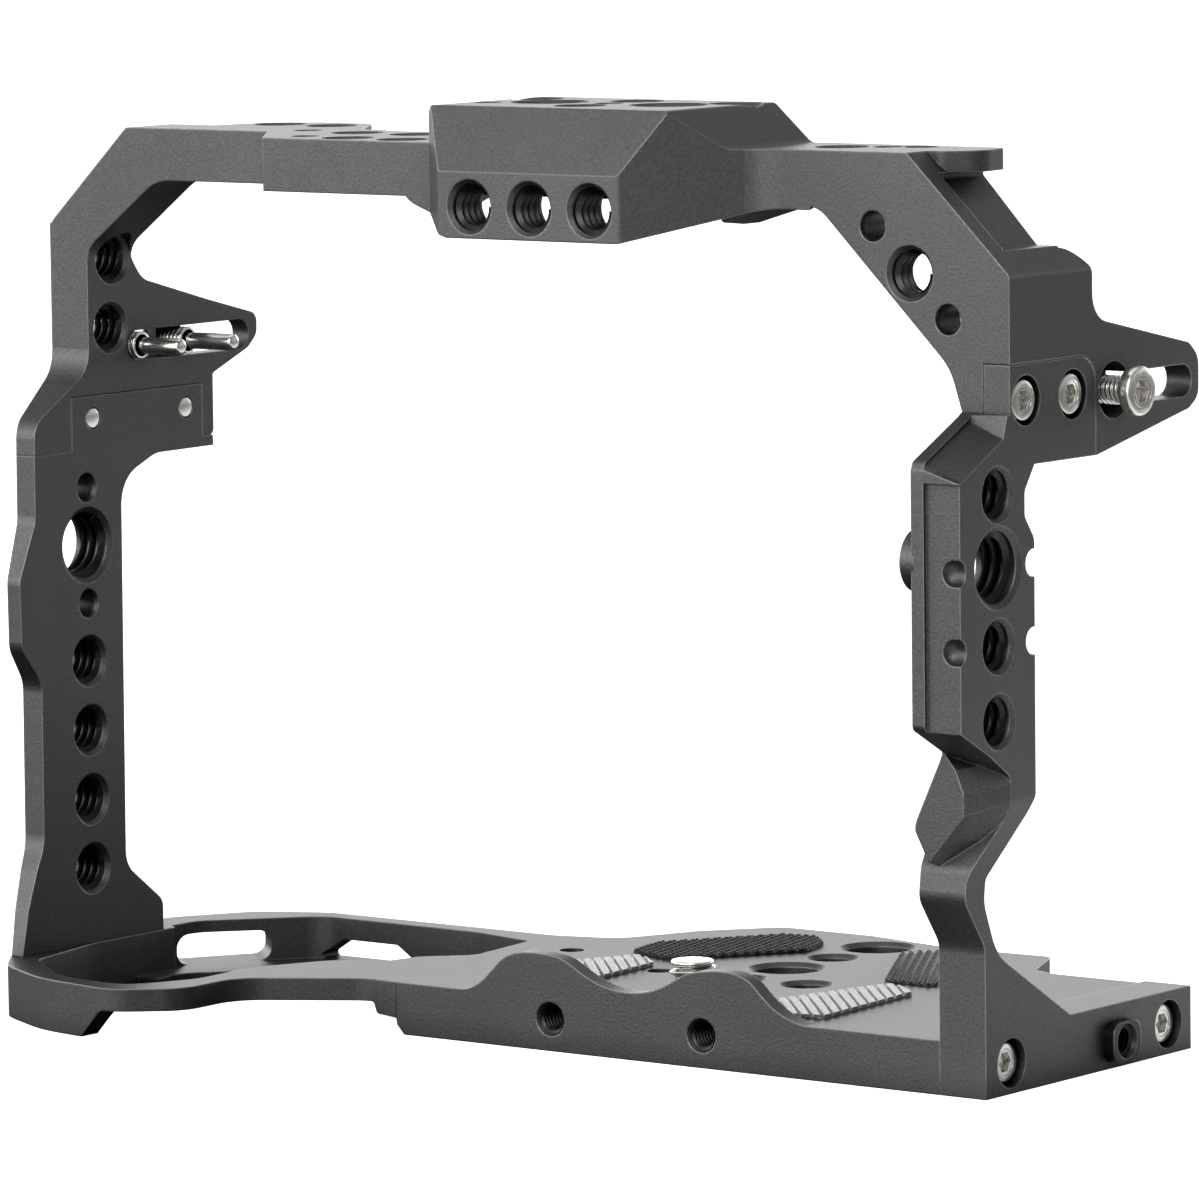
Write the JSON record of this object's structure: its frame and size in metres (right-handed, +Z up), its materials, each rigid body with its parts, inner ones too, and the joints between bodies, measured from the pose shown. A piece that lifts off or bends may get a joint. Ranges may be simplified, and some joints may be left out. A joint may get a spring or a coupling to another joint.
{
  "type": "camera cage",
  "caption": "Machined aluminium cage frame that bolts round a mirrorless camera, with accessory threads, a battery-side ring, rubber pads, a captive camera screw and sliding lug screws.",
  "frame": {"origin": "middle of the bounding box at the underside", "axes": "+X from the grip side to the port side, +Y from the lens side to the back, +Z up"},
  "size_m": [0.1744, 0.0958, 0.1287],
  "materials": {
    "anodised_aluminium": "fine bead-blasted, dark grey-black anodised, light thin edges",
    "stainless": "bright turned stainless steel",
    "black_steel": "black oxide, semi-matt",
    "ribbed_rubber": "black rubber with fine diagonal ribs",
    "nylon": "black nylon washer"
  },
  "bodies": {
    "frame": {"base_plate": "anodised_aluminium", "grip_side_plate": "anodised_aluminium", "port_side_plate": "anodised_aluminium", "top_frame": "anodised_aluminium", "clamp_insert": "black_steel", "pad_front_left": "ribbed_rubber", "pad_front_right": "ribbed_rubber", "pad_rear_left": "ribbed_rubber", "pad_rear_right": "ribbed_rubber", "grip_joint_screw_front": "stainless", "grip_joint_screw_rear": "stainless", "port_joint_screw_front": "stainless", "port_joint_screw_rear": "stainless", "port_foot_screw_front": "stainless", "port_foot_screw_rear": "stainless", "grip_foot_screw_front": "stainless", "grip_foot_screw_rear": "stainless"},
    "camera_screw_float": {"camera_screw_washer": "nylon"},
    "camera_screw_turn": {"camera_screw": "stainless"},
    "grip_lug_slide_a": {"grip_lug_nut_a": "black_steel"},
    "grip_lug_turn_a": {"grip_lug_screw_a": "stainless"},
    "grip_lug_slide_b": {"grip_lug_nut_b": "black_steel"},
    "grip_lug_turn_b": {"grip_lug_screw_b": "stainless"},
    "port_lug_slide": {"port_lug_nut": "black_steel"},
    "port_lug_turn": {"port_lug_screw": "stainless"}
  },
  "joints": [
    {"name": "camera_screw_lift", "type": "slide", "parent": "frame", "child": "camera_screw_float", "axis": [0, 0, 1], "range_m": [-0.0008, 0.00025]},
    {"name": "camera_screw_spin", "type": "hinge", "parent": "camera_screw_float", "child": "camera_screw_turn", "pos_m": [0.01825, -0.00458, 0.003], "axis": [0, 0, 1], "continuous": true},
    {"name": "grip_lug_a_travel", "type": "slide", "parent": "frame", "child": "grip_lug_slide_a", "axis": [0, 1, 0], "range_m": [0, 0.0025]},
    {"name": "grip_lug_a_spin", "type": "hinge", "parent": "grip_lug_slide_a", "child": "grip_lug_turn_a", "pos_m": [-0.08135, -0.00508, 0.0918], "axis": [1, 0, 0], "continuous": true},
    {"name": "grip_lug_b_travel", "type": "slide", "parent": "frame", "child": "grip_lug_slide_b", "axis": [0, 1, 0], "range_m": [0, 0.0122]},
    {"name": "grip_lug_b_spin", "type": "hinge", "parent": "grip_lug_slide_b", "child": "grip_lug_turn_b", "pos_m": [-0.08135, 0.00522, 0.0918], "axis": [1, 0, 0], "continuous": true},
    {"name": "port_lug_travel", "type": "slide", "parent": "frame", "child": "port_lug_slide", "axis": [0, 1, 0], "range_m": [0, 0.0162]},
    {"name": "port_lug_spin", "type": "hinge", "parent": "port_lug_slide", "child": "port_lug_turn", "pos_m": [0.07865, 0.00272, 0.0915], "axis": [1, 0, 0], "continuous": true}
  ]
}
